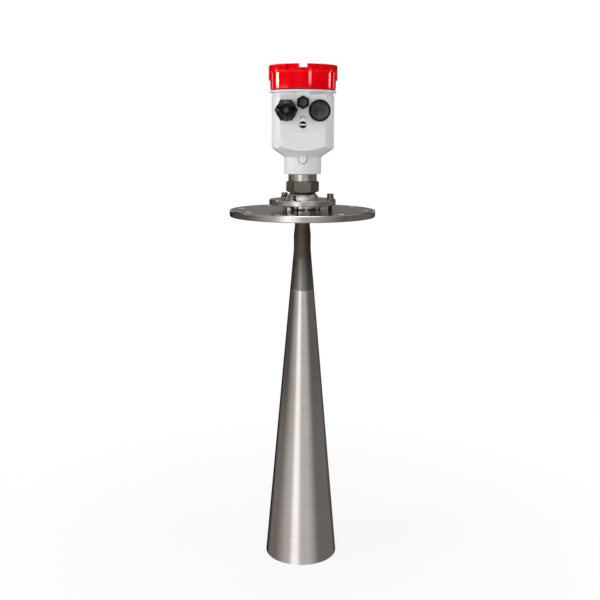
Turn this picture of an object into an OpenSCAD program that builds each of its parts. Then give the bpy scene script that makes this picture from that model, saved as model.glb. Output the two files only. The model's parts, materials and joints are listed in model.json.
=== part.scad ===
// Horn radar level transmitter on a swivelling ball flange.
// Origin: centre of the flange's sealing face. +Z points up to the housing, the cable entries face -Y.

/* [Flange] */
// Outer diameter of the process flange
flange_d = 185; // [150:1:240]
// Thickness of the process flange
flange_t = 8; // [7:0.5:14]
// Distance of the bolt circle from the flange's edge
bolt_edge = 12.5; // [9:0.5:20]
// Diameter of each flange bolt hole
bolt_hole_d = 9; // [5:0.5:14]
// Number of flange bolt holes
bolt_count = 8; // [4:2:12]
// Angle from the front to the first bolt hole
bolt_turn = -10; // [-22:1:22]

/* [Swivel] */
// Diameter of the swivel ball
ball_d = 48; // [47:0.5:52]
// Height of the ball above its centre, up to the hexagon
ball_above = 18.9; // [17:0.1:20]
// Depth of the ball below its centre
ball_below = 18.2; // [17:0.1:20]
// Outer diameter of the clamp plate
clamp_d = 84.5; // [83:0.5:100]
// Thickness of the clamp plate
clamp_t = 6.8; // [5:0.1:10]
// Open gap between flange and clamp plate
clamp_gap = 6.5; // [4:0.1:8]
// Distance of the clamp screws from the clamp plate's edge
clamp_edge = 6.25; // [6.25:0.25:7]
// Thread diameter of the clamp screws
clamp_screw_d = 5; // [4:1:6]
// Number of clamp screws
clamp_screw_count = 3; // [3:1:4]
// Angle from the front to the first clamp screw
clamp_turn = -20; // [-60:1:60]
// Depth that a clamp screw reaches into the flange
clamp_grip = 6; // [4:0.1:6.4]
// Width of the seal ring in the flange's seat
seal_ring_w = 3; // [2:0.1:4]
// Height of the seal ring
seal_ring_h = 3.5; // [2:0.1:4]

/* [Neck] */
// Length of the hexagon's spigot inside the neck tube
spigot_up = 17; // [12:0.5:20]
// Depth of the throat's thread inside the ball
throat_thread = 17; // [14:0.5:18]
// Width across flats of the hexagon
hex_af = 36; // [34:0.5:40]
// Height of the hexagon
hex_h = 14.4; // [10:0.1:20]
// Diameter of the neck tube below the housing
neck_d = 36; // [34:0.5:40]
// Bare height of the neck tube
neck_h = 8.6; // [5:0.1:20]
// Diameter of the turning fit between neck tube and housing
bearing_d = 32; // [31:0.2:34]
// Diameter of the spigots on both sides of the hexagon
spigot_d = 26; // [23:0.2:27]
// Inner diameter of the waveguide
waveguide_d = 8; // [6:0.1:9]
// Wall of the waveguide
waveguide_wall = 2; // [1:0.1:2.5]

/* [Horn] */
// Outer diameter of the horn mouth
horn_d = 95; // [75:1:120]
// Depth of the horn mouth below the sealing face
horn_len = 457.5; // [300:0.5:600]
// Sheet thickness of the horn
horn_wall = 1.2; // [0.8:0.1:2]
// Diameter of the throat just below the flange
throat_neck_d = 19.2; // [18.6:0.1:21]
// Diameter of the straight part of the throat
throat_d = 21.8; // [20:0.1:26]
// Depth at which the throat has reached its straight diameter
throat_straight_z = 24; // [20:0.5:30]
// Depth at which the cone starts
cone_start_z = 43; // [38:0.5:60]
// Depth at which the turned throat ends and the sheet cone begins
throat_end_z = 95; // [85:0.5:130]
// Diameter of the feed bore in the throat
feed_d = 14; // [11:0.1:14.4]

/* [Housing] */
// Diameter of the housing body
body_d = 78; // [76:0.5:86]
// Height of the straight housing body
body_h = 63.8; // [60:0.1:80]
// Diameter of the neck socket
socket_d = 46.5; // [42:0.5:50]
// Height of the neck socket
socket_h = 20.65; // [18:0.1:26]
// Height of the cone between socket and body
shoulder_h = 11.2; // [9:0.1:16]
// Wall of the housing
wall = 5; // [4:0.1:6]
// Height of the groove below the rim
groove_h = 3.3; // [2:0.1:5]
// Depth of the groove below the rim
groove_depth = 1.6; // [0.8:0.1:2]
// How far the rim under the lid stands out of the body
rim_out = 2.4; // [0.5:0.1:4]
// Height of the rim under the lid
rim_h = 2.7; // [2:0.1:5]
// How far the threaded collar is set back from the body
collar_in = 2.3; // [2:0.1:2.4]
// Height of the threaded collar
collar_h = 13; // [8:0.1:16]
// Width of the flat front panel
panel_w = 58; // [54:0.5:62]
// How far the front panel stands out of the round body
panel_out = 1; // [0.6:0.1:4]
// Thickness of the entry pad on the front panel
pad_t = 1.5; // [0.5:0.1:3]
// Radius of the pad's curved lower edge
pad_arc_r = 48; // [40:1:60]
// Height of the pad's lowest point above the body's lower edge
pad_low_h = 21; // [18:0.5:24]
// Width of the rounded tab on the neck socket
tab_w = 9.8; // [7:0.1:12]
// Length of the rounded tab below the top of the socket
tab_drop = 7; // [6:0.1:9]
// Width of the groove around the tab
tab_groove = 0.9; // [0.5:0.1:1.5]

/* [Cable entries] */
// Thread diameter of both cable entries
entry_d = 20; // [16:0.5:20]
// Distance between the two cable entries
entry_spacing = 40; // [39:0.1:42]
// Height of the cable entries above the body's lower edge
entry_h = 44.8; // [42:0.1:46]
// Depth of thread in each cable entry
entry_depth = 11; // [8:0.5:13]
// Width across flats of the cable gland
gland_af = 24; // [22:0.1:24.6]
// Diameter of the cable hole in the gland nut
gland_hole_d = 12; // [8:0.1:13]
// Diameter of the blind plug's head
plug_d = 26; // [24:0.1:26.4]
// Height of the blind plug's head
plug_h = 5.5; // [4:0.1:9]
// Width across flats of the breather plug
breather_af = 14; // [13:0.1:14.4]
// Height of the breather plug above the body's lower edge
breather_h = 54.3; // [53.5:0.1:55.5]
// Thread diameter of the breather plug
breather_d = 10; // [8:0.1:11]
// Height of the ground screw above the body's lower edge
ground_h = 28.2; // [27.5:0.1:30]
// Diameter of the ground screw's head
ground_head_d = 7.8; // [6:0.1:9]

/* [Lid] */
// How far the lid's wall stands out of the housing body
lid_out = 2; // [1.5:0.1:4]
// How far the lid's upper band stands out of its wall
band_out = 1.5; // [0.8:0.1:4]
// Height of the lid
lid_h = 29; // [26:0.1:36]
// Height of the lid's upper band
band_h = 9; // [6:0.1:12]
// Width of the lever notch in the lid's rim
notch_w = 9.7; // [5:0.1:14]
// Depth of the lever notch
notch_depth = 4.3; // [2:0.1:5]
// Depth of the side lugs below the band
lug_drop = 8.6; // [4:0.1:12]
// Thickness of the lid's top
lid_top_t = 3; // [2:0.1:5]

/* [Electronics] */
// Space between the electronics module and the housing wall
module_gap = 3.5; // [3:0.1:6]
// Height of the high frequency module above the neck
rf_h = 15; // [13:0.5:18]
// Height of the electronics module
module_h = 22; // [18:0.5:23]
// Width of the terminal block
terminal_w = 34; // [24:0.5:38]
// Number of terminals
terminal_count = 4; // [2:1:5]

/* [Clearances] */
// Clearance between the ball and its two seats
seat_gap = 0.25; // [0.1:0.05:0.4]
// Clearance of a threaded or plugged fit, on the radius
fit_gap = 0.05; // [0.02:0.01:0.1]
// Clearance of the turning fits, on the radius
turn_gap = 0.08; // [0.04:0.01:0.1]
// Face gap at a turning joint
face_gap = 0.2; // [0.1:0.05:0.4]
// Open gap between lid and rim
lid_gap = 1; // [0.6:0.1:1.4]

/* [Hidden] */
$fn = 96;
cut = 1;                                     // how far a cutter runs past a face
corner_steps = 5;                            // segments of a rounded profile corner
hole_gap = 0.3;                              // clearance of a plain screw or pin hole, on the radius
ring_play = 0.4;                             // axial play of an O-ring in its groove

// Heights along the axis, from the sealing face up
ball_z = flange_t + clamp_gap / 2;
clamp_z0 = flange_t + clamp_gap;
clamp_z1 = clamp_z0 + clamp_t;
hex_z0 = ball_z + ball_above;
hex_z1 = hex_z0 + hex_h;
neck_z1 = hex_z1 + neck_h;
housing_z0 = neck_z1 + face_gap;
socket_z1 = housing_z0 + socket_h;
body_z0 = socket_z1 + shoulder_h;
body_z1 = body_z0 + body_h;
groove_z1 = body_z1 + groove_h;
rim_z1 = groove_z1 + rim_h;
collar_z1 = rim_z1 + collar_h;
lid_z0 = rim_z1 + lid_gap;
lid_z1 = lid_z0 + lid_h;

// Flange and swivel
bolt_circle_d = flange_d - 2 * bolt_edge;
clamp_circle_d = clamp_d - 2 * clamp_edge;
ball_r = ball_d / 2;
ball_bottom_z = ball_z - ball_below;
washer_t = 1.6;
washer_r = clamp_screw_d;                    // a plain washer is twice as wide as its screw
head_r = clamp_screw_d * 5 / 6;
head_h = clamp_screw_d;
seal_ring_z0 = flange_t / 2 - seal_ring_h / 2;
seal_ring_d = 2 * (sqrt(pow(ball_r + seat_gap, 2) - pow(ball_z - flange_t / 2, 2)) + seal_ring_w);

// Neck
bearing_r = bearing_d / 2;
spigot_r = spigot_d / 2;
neck_top_z = socket_z1 + 4;
circlip_t = 1.5;
circlip_z0 = socket_z1 + face_gap;
circlip_groove = 1.4;
circlip_w = 3.4;
neck_seal_r = 1.4;
neck_seal_up = 7;                            // height of the O-ring above the housing's lower edge
neck_seal_z = housing_z0 + neck_seal_up;
waveguide_r = waveguide_d / 2 + waveguide_wall;
throat_seat_z = ball_bottom_z + throat_thread;
rf_z1 = neck_top_z + rf_h;
waveguide_z1 = neck_top_z + 2;

// Horn
throat_spigot_r = throat_neck_d / 2 - 0.6;
horn_slope = (horn_d - throat_d) / 2 / (horn_len - cone_start_z);
throat_end_r = throat_d / 2 + horn_slope * (throat_end_z - cone_start_z);
socket_lap = 6;                              // length of throat inside the sheet cone
throat_seal_r = 0.7;
throat_seal_z = throat_seat_z - 4;

// Housing
body_r = body_d / 2;
socket_r = socket_d / 2;
cavity_r = body_r - wall;
collar_r = body_r - collar_in;
rim_r = body_r + rim_out;
groove_r = body_r - groove_depth;
panel_y = body_r + panel_out;
shoulder_slope = (body_r - socket_r) / shoulder_h;
pad_y = panel_y + pad_t;
pad_low_z = body_z0 + pad_low_h;
entry_z = body_z0 + entry_h;
entry_x = entry_spacing / 2;
entry_r = entry_d / 2;
entry_boss_r = entry_r + 2.6;
breather_z = body_z0 + breather_h;
ground_z = body_z0 + ground_h;
ground_recess = 2.5;
ground_washer_t = 0.8;
floor_z = socket_z1 + 3;                     // inner height at which the shoulder begins
tab_proud = 1.8;                             // how far the rounded tab stands out of the socket
bridge_w = 16.4;                             // width of the bridge across the groove under the rim

// Stop that limits the housing's turn
stop_z = socket_z1 - tab_drop + tab_w / 2;
stop_pin_r = 1.2;
stop_pin_end = socket_r + 0.6;
stop_depth = 1.2;                            // depth of the groove that the pin runs in
stop_land = 17;                              // angle of the land that ends the turn

// Cable entries, measured from the pad outwards
gasket_t = 1.5;
gland_hex_h = 6;
gland_stub_h = 9;
gland_nut_z0 = gasket_t + gland_hex_h + 0.4;
gland_nut_h = 15.5;
gland_stub_r = gland_af / 2 - 3.4;
gland_seal_r = gland_hole_d / 2 + 1;
gland_seat = gasket_t + 2;                   // depth at which the seal sits in the gland body
gland_top = gland_nut_z0 + gland_nut_h - 1.2;
breather_gasket_t = 1;
breather_thread = 7;                         // length of the breather's thread

// Electronics
module_gap_z = 5;                            // free height between the two modules
module_z0 = rf_z1 + module_gap_z;
module_z1 = module_z0 + module_h;
module_d = 2 * (cavity_r - module_gap);
module_screw_x = module_d / 2 - 5;
module_screw_grip = 8;                       // length of a module screw inside its post
post_thread = module_screw_grip + 2;
module_screw_r = 1.5;
module_sink = 4;                             // depth of the sunk screw heads
module_post_r = 4;
board_t = 1.6;
board_z1 = module_z1 + board_t;
terminal_h = 11;
terminal_y0 = 3;
terminal_y1 = 16;
terminal_pitch = terminal_w / terminal_count;
terminal_floor = 3;                          // height of the terminal screws above the board

// Lid
lid_r = body_r + lid_out;
band_r = lid_r + band_out;
lid_bore_r = collar_r + 0.3;
lid_seal_r = 1.2;
lid_seal_ring_r = collar_r + lid_seal_r + 0.2;
rim_wall = 6;                                // width of the raised rim on the lid's top
lid_face_z = lid_z1 - notch_depth;
band_z0 = lid_z1 - band_h;
flush_r = lid_r + 0.2;                       // radius of the fork blocks between the recesses
recess_depth = 1.6;
recess_from = 17.5;                          // angle at which the recess beside a fork block starts
recess_to = 29.3;
fork_slope = 2.6;                            // angle by which the fork block's flank spreads inwards
lug_half = 8;                                // half the angle of a side lug

// ---------------------------------------------------------------- helpers

function unit(v) = v / norm(v);

// Arc that rounds the corner b between a and c with radius r
function corner(a, b, c, r) =
    r <= 0 ? [[b.x, b.y]] :
    let (
        u = unit([a.x - b.x, a.y - b.y]),
        v = unit([c.x - b.x, c.y - b.y]),
        half = acos(u * v) / 2,
        middle = [b.x, b.y] + unit(u + v) * r / sin(half),
        first = [b.x, b.y] + u * r / tan(half) - middle,
        last = [b.x, b.y] + v * r / tan(half) - middle,
        start = atan2(first.y, first.x),
        sweep = (atan2(last.y, last.x) - start + 540) % 360 - 180
    )
    [for (i = [0 : corner_steps])
        middle + r * [cos(start + sweep * i / corner_steps), sin(start + sweep * i / corner_steps)]];

// Outline whose points carry their own corner radius: [x, y, radius]
function rounded(points) =
    let (n = len(points))
    [for (i = [0 : n - 1])
        each corner(points[(i + n - 1) % n], points[i], points[(i + 1) % n], points[i][2])];

module revolve(points) {
    rotate_extrude() polygon(rounded(points));
}

// Ring between two radii and two heights
module ring(outer, inner, z0, z1) {
    translate([0, 0, z0]) difference() {
        cylinder(r = outer, h = z1 - z0);
        translate([0, 0, -cut]) cylinder(r = inner, h = z1 - z0 + 2 * cut);
    }
}

module torus(major, minor, z) {
    translate([0, 0, z]) rotate_extrude() translate([major, 0]) circle(r = minor);
}

// Hexagonal prism with both ends chamfered at 30 degrees
module hexagon(af, h) {
    across = af / cos(30);
    bevel = (across - af) / 2 * tan(30);
    intersection() {
        cylinder(d = across, h = h, $fn = 6);
        rotate_extrude() polygon([
            [0, 0],
            [af / 2, 0],
            [across / 2, bevel],
            [across / 2, h - bevel],
            [af / 2, h],
            [0, h],
        ]);
    }
}

// Puts a child on the front side: its +Z points out to -Y, its +Y points up
module on_front(x, y, z) {
    translate([x, -y, z]) rotate([90, 0, 0]) children();
}

// Places children evenly on a circle, counted from the front towards +X
module around(radius, count, start) {
    for (i = [0 : count - 1]) {
        rotate([0, 0, start + i * 360 / count]) translate([0, -radius, 0]) children();
    }
}

// ---------------------------------------------------------------- flange and clamp

module ball_seat(gap) {
    translate([0, 0, ball_z]) sphere(r = ball_r + gap);
}

module process_flange() {
    edge = 0.8;
    tip_room = 0.5;                          // free depth below the tip of a clamp screw
    color("#8d8680") difference() {
        revolve([
            [0, 0, 0],
            [flange_d / 2 - edge, 0, 0],
            [flange_d / 2, edge, 0],
            [flange_d / 2, flange_t - edge, 0],
            [flange_d / 2 - edge, flange_t, 0],
            [0, flange_t, 0],
        ]);
        ball_seat(seat_gap);
        translate([0, 0, seal_ring_z0])
            cylinder(r = seal_ring_d / 2 + fit_gap, h = seal_ring_h + fit_gap);
        around(bolt_circle_d / 2, bolt_count, bolt_turn)
            translate([0, 0, -cut]) cylinder(d = bolt_hole_d, h = flange_t + 2 * cut);
        around(clamp_circle_d / 2, clamp_screw_count, clamp_turn)
            translate([0, 0, flange_t - clamp_grip - tip_room])
                cylinder(r = clamp_screw_d / 2 + fit_gap, h = clamp_grip + tip_room + cut);
    }
}

module clamp_plate() {
    edge = 0.6;
    color("#a39d97") difference() {
        revolve([
            [0, clamp_z0, 0],
            [clamp_d / 2 - edge, clamp_z0, 0],
            [clamp_d / 2, clamp_z0 + edge, 0],
            [clamp_d / 2, clamp_z1 - edge, 0],
            [clamp_d / 2 - edge, clamp_z1, 0],
            [0, clamp_z1, 0],
        ]);
        ball_seat(seat_gap);
        around(clamp_circle_d / 2, clamp_screw_count, clamp_turn)
            translate([0, 0, clamp_z0 - cut])
                cylinder(r = clamp_screw_d / 2 + hole_gap, h = clamp_t + 2 * cut);
    }
}

module clamp_screws() {
    seat = clamp_z1 + washer_t;
    socket_af = clamp_screw_d * 5 / 6;
    color("#77716b") around(clamp_circle_d / 2, clamp_screw_count, clamp_turn) difference() {
        union() {
            translate([0, 0, flange_t - clamp_grip])
                cylinder(d = clamp_screw_d, h = seat - flange_t + clamp_grip + cut);
            translate([0, 0, seat]) revolve([
                [0, 0, 0],
                [head_r, 0, 0],
                [head_r, head_h, 0.5],
                [0, head_h, 0],
            ]);
        }
        translate([0, 0, seat + head_h / 2])
            cylinder(d = socket_af / cos(30), h = head_h, $fn = 6);
    }
}

module clamp_washers() {
    color("#b9b3ac") around(clamp_circle_d / 2, clamp_screw_count, clamp_turn)
        ring(washer_r, clamp_screw_d / 2 + hole_gap, clamp_z1, clamp_z1 + washer_t);
}

module swivel_seal() {
    color("#e9e6df") difference() {
        translate([0, 0, seal_ring_z0]) cylinder(d = seal_ring_d, h = seal_ring_h);
        ball_seat(seat_gap / 2);
    }
}

// ---------------------------------------------------------------- ball and neck

module swivel_ball() {
    color("#b1aca7") difference() {
        intersection() {
            ball_seat(0);
            translate([0, 0, ball_bottom_z]) cylinder(r = ball_d, h = hex_z0 - ball_bottom_z);
        }
        translate([0, 0, ball_bottom_z - cut])
            cylinder(r = spigot_r + fit_gap, h = hex_z0 - ball_bottom_z + 2 * cut);
    }
}

module hex_adapter() {
    color("#9a948e") difference() {
        union() {
            translate([0, 0, hex_z0]) hexagon(hex_af, hex_h);
            translate([0, 0, ball_bottom_z])
                cylinder(r = spigot_r, h = hex_z1 + spigot_up - ball_bottom_z);
        }
        translate([0, 0, ball_bottom_z - cut])
            cylinder(r = waveguide_r + fit_gap, h = hex_z1 + spigot_up - ball_bottom_z + 2 * cut);
        translate([0, 0, ball_bottom_z - cut])
            cylinder(r = throat_spigot_r + fit_gap, h = throat_seat_z - ball_bottom_z + cut);
    }
}

module neck_tube() {
    color("#aba69f") difference() {
        revolve([
            [0, hex_z1, 0],
            [neck_d / 2, hex_z1, 0],
            [neck_d / 2, neck_z1, 0.4],
            [bearing_r, neck_z1, 0],
            [bearing_r, neck_top_z, 0.6],
            [0, neck_top_z, 0],
        ]);
        translate([0, 0, hex_z1 - cut])
            cylinder(r = spigot_r + fit_gap, h = neck_top_z - hex_z1 + 2 * cut);
        ring(bearing_r + cut, bearing_r - 2 * neck_seal_r,
            neck_seal_z - neck_seal_r, neck_seal_z + neck_seal_r + ring_play);
        ring(bearing_r + cut, bearing_r - circlip_groove, circlip_z0, circlip_z0 + circlip_t + fit_gap);
        stop_groove();
    }
}

// Groove for the stop pin, ended by a land at the back
module stop_groove() {
    half = stop_pin_r + hole_gap;
    translate([0, 0, stop_z - half]) rotate([0, 0, 90 + stop_land / 2])
        rotate_extrude(angle = 360 - stop_land)
            translate([bearing_r - stop_depth, 0]) square([stop_depth + cut, 2 * half]);
}

module neck_seal() {
    color("#1c1c1c") torus(bearing_r - neck_seal_r + turn_gap / 2, neck_seal_r, neck_seal_z);
}

module neck_circlip() {
    opening = 24;
    color("#6f6a64") translate([0, 0, circlip_z0]) rotate([0, 0, opening / 2 - 90])
        rotate_extrude(angle = 360 - opening)
            translate([bearing_r - circlip_groove + fit_gap, 0]) square([circlip_w, circlip_t]);
}

module waveguide() {
    color("#c9a24a") ring(waveguide_r, waveguide_d / 2, throat_seat_z, waveguide_z1);
}

module rf_module() {
    color("#3c4246") difference() {
        union() {
            translate([0, 0, hex_z1 + spigot_up + face_gap])
                cylinder(r = spigot_r, h = neck_top_z - hex_z1 - spigot_up);
            translate([0, 0, neck_top_z])
                revolve([
                    [0, 0, 0],
                    [bearing_r - 0.5, 0, 0],
                    [bearing_r - 0.5, rf_z1 - neck_top_z, 1],
                    [0, rf_z1 - neck_top_z, 0],
                ]);
        }
        translate([0, 0, hex_z1])
            cylinder(r = waveguide_r + fit_gap, h = waveguide_z1 - hex_z1 + fit_gap);
    }
}

module rf_connector() {
    top = module_z0 - rf_z1 - face_gap;
    collar = 1.5;
    color("#d2ab4e") translate([0, 0, rf_z1]) revolve([
        [0, 0, 0],
        [3.2, 0, 0],
        [3.2, collar, 0],
        [2.4, collar, 0],
        [2.4, top, 0],
        [0, top, 0],
    ]);
}

// ---------------------------------------------------------------- horn

module horn_throat() {
    flare_z = cone_start_z + 3;
    color("#6e665f") difference() {
        revolve([
            [0, -throat_end_z - socket_lap, 0],
            [throat_end_r + horn_slope * socket_lap - horn_wall - fit_gap, -throat_end_z - socket_lap, 0],
            [throat_end_r - horn_wall - fit_gap, -throat_end_z, 0],
            [throat_end_r, -throat_end_z, 0],
            [throat_d / 2, -cone_start_z, 0],
            [throat_d / 2, -throat_straight_z, 0],
            [throat_neck_d / 2, -throat_straight_z / 2, 0],
            [throat_neck_d / 2, ball_bottom_z, 0],
            [throat_spigot_r, ball_bottom_z, 0],
            [throat_spigot_r, throat_seat_z - fit_gap, 0.5],
            [0, throat_seat_z - fit_gap, 0],
        ]);
        translate([0, 0, -flare_z - cut])
            cylinder(r = feed_d / 2 + fit_gap, h = flare_z + throat_seat_z + 2 * cut);
        translate([0, 0, -throat_end_z - socket_lap]) cylinder(
            r1 = throat_end_r + horn_slope * socket_lap - 2 * horn_wall,
            r2 = feed_d / 2,
            h = throat_end_z + socket_lap - flare_z);
        ring(throat_spigot_r + cut, throat_spigot_r - 2 * throat_seal_r,
            throat_seal_z - throat_seal_r, throat_seal_z + throat_seal_r + ring_play);
    }
}

module throat_seal() {
    color("#1c1c1c")
        torus(throat_spigot_r - throat_seal_r + fit_gap / 2, throat_seal_r, throat_seal_z);
}

// Sealing window of the antenna: a rod in the throat with a tip into the waveguide and one into the horn
module feed_cone() {
    root_z = throat_seat_z;
    horn_tip = 34;
    guide_tip = 20;
    plug = 2;                                // straight part inside the waveguide
    color("#f1efe9") revolve([
        [0, -cone_start_z - horn_tip, 0],
        [0.8, -cone_start_z - horn_tip, 0],
        [feed_d / 2, -cone_start_z, 0],
        [feed_d / 2, root_z, 0],
        [waveguide_d / 2 - fit_gap, root_z, 0],
        [waveguide_d / 2 - fit_gap, root_z + plug, 0],
        [0.5, root_z + guide_tip, 0],
        [0, root_z + guide_tip, 0],
    ]);
}

module horn_cone() {
    color("#b8b2ac") difference() {
        translate([0, 0, -horn_len])
            cylinder(r1 = horn_d / 2, r2 = throat_end_r, h = horn_len - throat_end_z);
        translate([0, 0, -horn_len]) cylinder(
            r1 = horn_d / 2 - horn_wall,
            r2 = throat_end_r - horn_wall,
            h = horn_len - throat_end_z);
    }
}

// ---------------------------------------------------------------- housing

// Flat-fronted block on the round body, cut off below by a cone parallel to the shoulder
module front_block(inset) {
    edge = 3;                                // radius of the panel's upright edges
    drop = 3;                                // how far below the body the block's cone starts
    low_z = body_z0 - drop + inset;
    reach = body_d;
    width = panel_w - 2 * inset;
    depth = panel_y - inset;
    intersection() {
        linear_extrude(height = body_z1) polygon(rounded([
            [-width / 2, 0, 0],
            [-width / 2, -depth, edge],
            [width / 2, -depth, edge],
            [width / 2, 0, 0],
        ]));
        rotate_extrude() polygon([
            [0, low_z],
            [depth, low_z],
            [reach, low_z + (reach - depth) / shoulder_slope],
            [reach, body_z1 - inset],
            [0, body_z1 - inset],
        ]);
    }
}

// Shield-shaped pad that carries the entries, with a sloping curved lower edge
module entry_pad() {
    side = panel_w / 2 - 1.2;
    intersection() {
        on_front(0, panel_y - cut, pad_low_z + pad_arc_r)
            cylinder(r1 = pad_arc_r + 2 * cut + pad_t, r2 = pad_arc_r, h = pad_t + cut);
        translate([-side, -pad_y, pad_low_z - pad_arc_r])
            cube([2 * side, pad_t + cut, body_z1 - pad_low_z + pad_arc_r]);
    }
}

module housing_outside() {
    revolve([
        [0, housing_z0, 0],
        [socket_r, housing_z0, 0.8],
        [socket_r, socket_z1, 1.5],
        [body_r, body_z0, 2.5],
        [body_r, body_z1, 0.8],
        [groove_r, body_z1, 0],
        [groove_r, groove_z1, 0],
        [rim_r, groove_z1, 0.6],
        [rim_r, rim_z1, 0.6],
        [collar_r, rim_z1, 0],
        [collar_r, collar_z1, 0.8],
        [0, collar_z1, 0],
    ]);
    front_block(0);
    entry_pad();
    for (side = [-1, 1]) {
        on_front(side * entry_x, 0, entry_z) cylinder(r = entry_boss_r, h = pad_y);
    }
    translate([-bridge_w / 2, -panel_y, body_z1 - cut])
        cube([bridge_w, panel_y - groove_r / 2, groove_h + cut]);
    // Rounded tab on the neck socket
    intersection() {
        on_front(0, 0, stop_z) linear_extrude(height = socket_r + tab_proud) tab_shape(tab_w / 2);
        translate([0, 0, housing_z0]) cylinder(r = socket_r + tab_proud, h = socket_h + shoulder_h);
    }
}

module housing_cavity() {
    step_r = socket_r - 4;
    shell = 3.5;                             // wall of the front block
    revolve([
        [0, socket_z1, 0],
        [step_r, socket_z1, 0],
        [step_r, floor_z, 0],
        [cavity_r, floor_z + (cavity_r - step_r) / shoulder_slope, 2],
        [cavity_r, collar_z1 + cut, 0],
        [0, collar_z1 + cut, 0],
    ]);
    // Coring of the front block below the entries
    intersection() {
        front_block(shell);
        cylinder(r = body_d, h = ground_z + 5);
    }
}

// Posts and bosses inside the shell
module housing_posts() {
    for (side = [-1, 1]) {
        translate([side * module_screw_x, 0, floor_z])
            cylinder(r = module_post_r, h = module_z0 - floor_z);
    }
    on_front(0, cavity_r - 2, ground_z) cylinder(r = 5, h = panel_y - cavity_r + cut);
}

module housing() {
    color("#d0d0d3") difference() {
        union() {
            difference() {
                housing_outside();
                housing_cavity();
            }
            intersection() {
                housing_posts();
                housing_outside();
            }
        }
        translate([0, 0, housing_z0 - cut])
            cylinder(r = bearing_r + turn_gap, h = socket_h + 2 * cut);
        for (side = [-1, 1]) {
            on_front(side * entry_x, entry_r, entry_z) cylinder(r = entry_r, h = pad_y);
            translate([side * module_screw_x, 0, module_z0 - post_thread])
                cylinder(r = module_screw_r, h = post_thread + cut);
        }
        on_front(0, panel_y / 2, breather_z) cylinder(r = breather_d / 2, h = pad_y);
        on_front(0, pad_y - ground_recess, ground_z)
            cylinder(r = ground_head_d / 2 + 0.6, h = ground_recess + cut);
        on_front(0, cavity_r - 1, ground_z) cylinder(r = 2, h = pad_y - cavity_r);
        on_front(0, bearing_r - cut, stop_z)
            cylinder(r = stop_pin_r + fit_gap, h = stop_pin_end - bearing_r + cut);
        tab_outline();
        earth_pocket();
    }
}

// Groove in the socket's skin that follows the rounded tab
module tab_outline() {
    depth = 1;
    difference() {
        on_front(0, socket_r - depth, stop_z) linear_extrude(height = 2 * depth) difference() {
            tab_shape(tab_w / 2 + tab_groove);
            tab_shape(tab_w / 2);
        }
        translate([0, 0, socket_z1]) cylinder(r = body_r, h = shoulder_h);
    }
}

// Outline of the rounded tab: a half disc below, straight sides above
module tab_shape(half) {
    union() {
        circle(r = half);
        translate([-half, 0]) square([2 * half, tab_w]);
    }
}

// Small arched pocket above the ground screw, deepest at its top
module earth_pocket() {
    pocket_r = 3.4;
    above = 7;                               // height of the pocket's centre above the screw
    slant = 44;
    on_front(0, pad_y, ground_z + above) rotate([-slant, 0, 0])
        translate([0, 0, -0.2]) cylinder(r = pocket_r, h = 6);
}

module stop_pin() {
    tip_y = bearing_r - stop_depth + hole_gap;
    color("#77716b") on_front(0, tip_y, stop_z) cylinder(r = stop_pin_r, h = stop_pin_end - tip_y);
}

module ground_washer() {
    color("#b9b3ac") on_front(0, pad_y - ground_recess, ground_z)
        ring(ground_head_d / 2 + hole_gap, 2.1, 0, ground_washer_t);
}

module ground_screw() {
    head = 2.4;
    slot_w = 1.2;
    slot_depth = 1.1;
    color("#8c8782") on_front(0, pad_y - ground_recess + ground_washer_t, ground_z) difference() {
        union() {
            translate([0, 0, -6]) cylinder(r = 1.95, h = 6 + cut);
            revolve([
                [0, 0, 0],
                [ground_head_d / 2, 0, 0],
                [ground_head_d / 2, head, 0.4],
                [0, head, 0],
            ]);
        }
        translate([-ground_head_d, -slot_w / 2, head - slot_depth])
            cube([2 * ground_head_d, slot_w, slot_depth + cut]);
    }
}

// ---------------------------------------------------------------- cable gland, along the left entry

module at_gland() {
    on_front(-entry_x, pad_y, entry_z) children();
}

module gland_gasket() {
    color("#1a1a1a") at_gland() ring(entry_boss_r, entry_r + 0.1, 0, gasket_t);
}

module gland_body() {
    bore_r = gland_hole_d / 2 - 0.5;
    color("#222324") at_gland() difference() {
        union() {
            translate([0, 0, -entry_depth]) cylinder(r = entry_r - fit_gap, h = entry_depth + gasket_t + cut);
            translate([0, 0, gasket_t]) hexagon(gland_af, gland_hex_h);
            translate([0, 0, gasket_t]) cylinder(r = gland_stub_r, h = gland_hex_h + gland_stub_h);
        }
        translate([0, 0, -entry_depth - cut])
            cylinder(r = bore_r, h = entry_depth + gasket_t + gland_hex_h + gland_stub_h + 2 * cut);
        translate([0, 0, gland_seat])
            cylinder(r = gland_seal_r + fit_gap, h = gland_hex_h + gland_stub_h);
    }
}

module gland_nut() {
    hex_part = 8;
    dome_r = gland_af / 2 - 0.6;
    color("#1d1e1f") at_gland() translate([0, 0, gland_nut_z0]) difference() {
        union() {
            hexagon(gland_af, hex_part);
            revolve([
                [0, 0, 0],
                [dome_r, 0, 0],
                [dome_r, gland_nut_h - 2.5, 5],
                [gland_hole_d / 2 + 1.2, gland_nut_h, 1],
                [0, gland_nut_h, 0],
            ]);
        }
        translate([0, 0, -cut]) cylinder(r = gland_hole_d / 2, h = gland_nut_h + 2 * cut);
        translate([0, 0, -cut])
            cylinder(r = gland_stub_r + turn_gap, h = gland_stub_h + 0.6 + cut);
    }
}

module gland_seal() {
    hole_r = gland_hole_d / 2 - 0.15;
    step = gasket_t + gland_hex_h + gland_stub_h;
    color("#151515") at_gland() difference() {
        union() {
            translate([0, 0, gland_seat]) cylinder(r = gland_seal_r, h = step - gland_seat);
            translate([0, 0, gland_seat]) cylinder(r = hole_r, h = gland_top - gland_seat);
        }
        cylinder(r = hole_r - 1.8, h = gland_top + cut);
    }
}

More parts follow.
